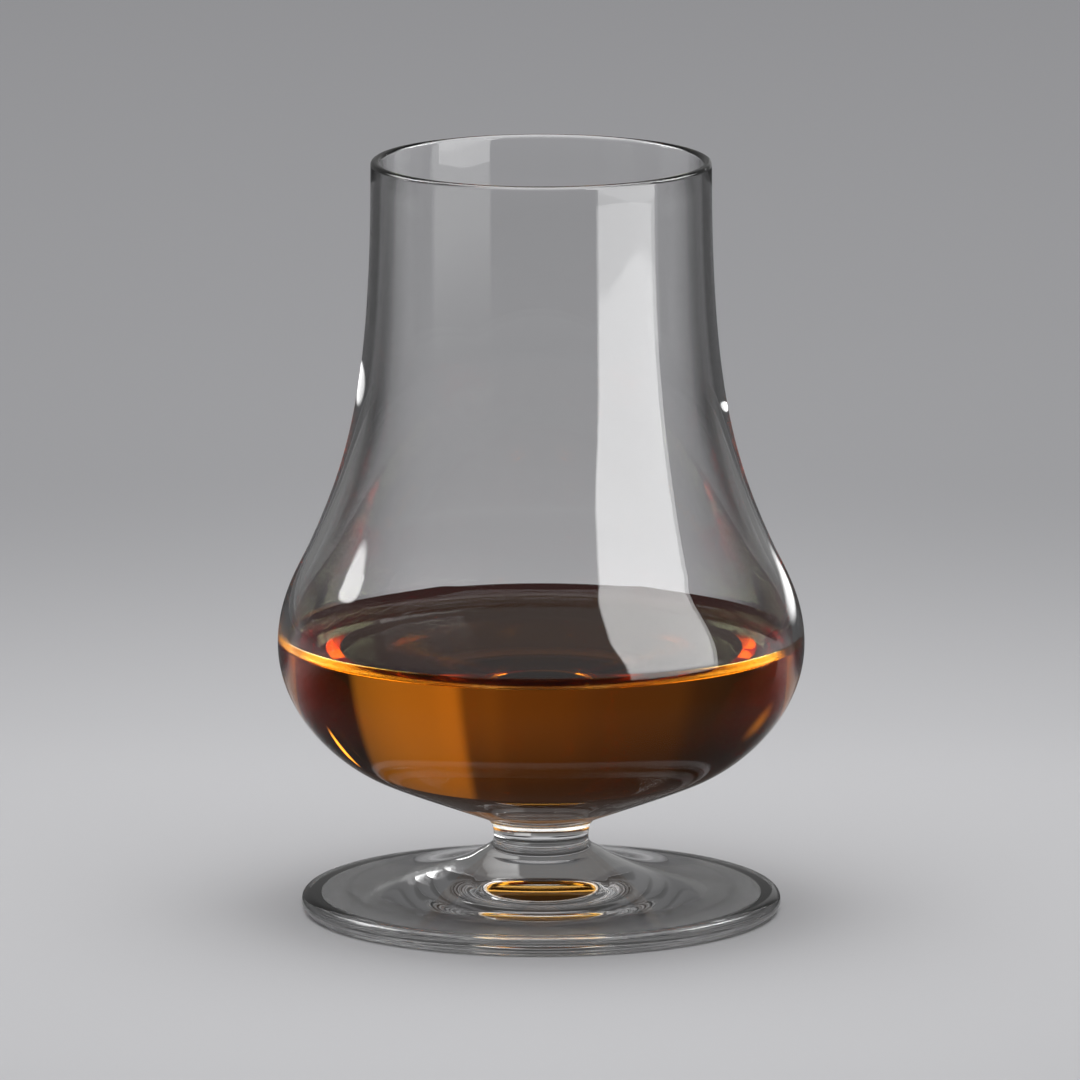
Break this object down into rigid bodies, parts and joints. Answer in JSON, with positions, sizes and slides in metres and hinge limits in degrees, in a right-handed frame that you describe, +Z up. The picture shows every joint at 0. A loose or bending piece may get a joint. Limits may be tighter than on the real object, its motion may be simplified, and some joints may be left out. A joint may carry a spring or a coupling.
{
  "type": "whisky nosing glass",
  "caption": "Tulip-shaped whisky nosing glass on a short solid stem and round foot, filled to its belly with amber whisky.",
  "frame": {"origin": "centre of the ring on the foot's underside, in the plane that the glass stands on", "axes": "+Z up along the glass's axis, from the foot to the rim; the glass is round, so X and Y are alike"},
  "size_m": [0.0818, 0.0818, 0.118],
  "materials": {
    "clear_glass": "clear, colourless, fire-polished",
    "whisky": "clear amber liquid"
  },
  "bodies": {
    "root": {"foot": "clear_glass", "stem": "clear_glass", "bowl": "clear_glass", "whisky": "whisky"}
  },
  "joints": []
}
